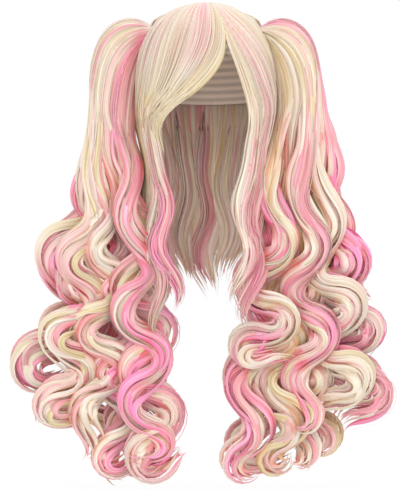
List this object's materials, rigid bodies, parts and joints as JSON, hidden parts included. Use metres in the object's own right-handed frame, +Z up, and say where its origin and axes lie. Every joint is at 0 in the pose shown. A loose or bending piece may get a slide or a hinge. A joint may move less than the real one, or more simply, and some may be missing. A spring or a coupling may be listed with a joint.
{
  "type": "long curly wig",
  "caption": "Long wig with a side-swept fringe, wavy hair round the face and neck, and long curly ponytails clipped high on the sides, in cream blond with pink streaks.",
  "frame": {"origin": "inside top of the crown, where the wig sits on the top of a head", "axes": "+Z up, -Y the way the face looks, +X to the wearer's left"},
  "size_m": [0.5584, 0.2552, 0.7],
  "materials": {
    "crown_hair": "silky synthetic hair, cream blond",
    "fringe_hair": "silky synthetic hair, cream blond with pale pink streaks",
    "side_hair": "silky synthetic hair, cream blond with pink streaks",
    "back_hair": "silky synthetic hair, cream blond with pink streaks",
    "ponytail_hair": "silky synthetic hair, cream blond with pale and hot pink streaks",
    "clip": "plain matte plastic in the colour of the hair"
  },
  "bodies": {
    "root": {"crown": "crown_hair", "fringe": "fringe_hair", "side_lock_right": "side_hair", "side_lock_left": "side_hair", "back_hair": "back_hair", "clip_right": "clip", "clip_left": "clip", "ponytail_right": "ponytail_hair", "ponytail_left": "ponytail_hair"}
  },
  "joints": []
}
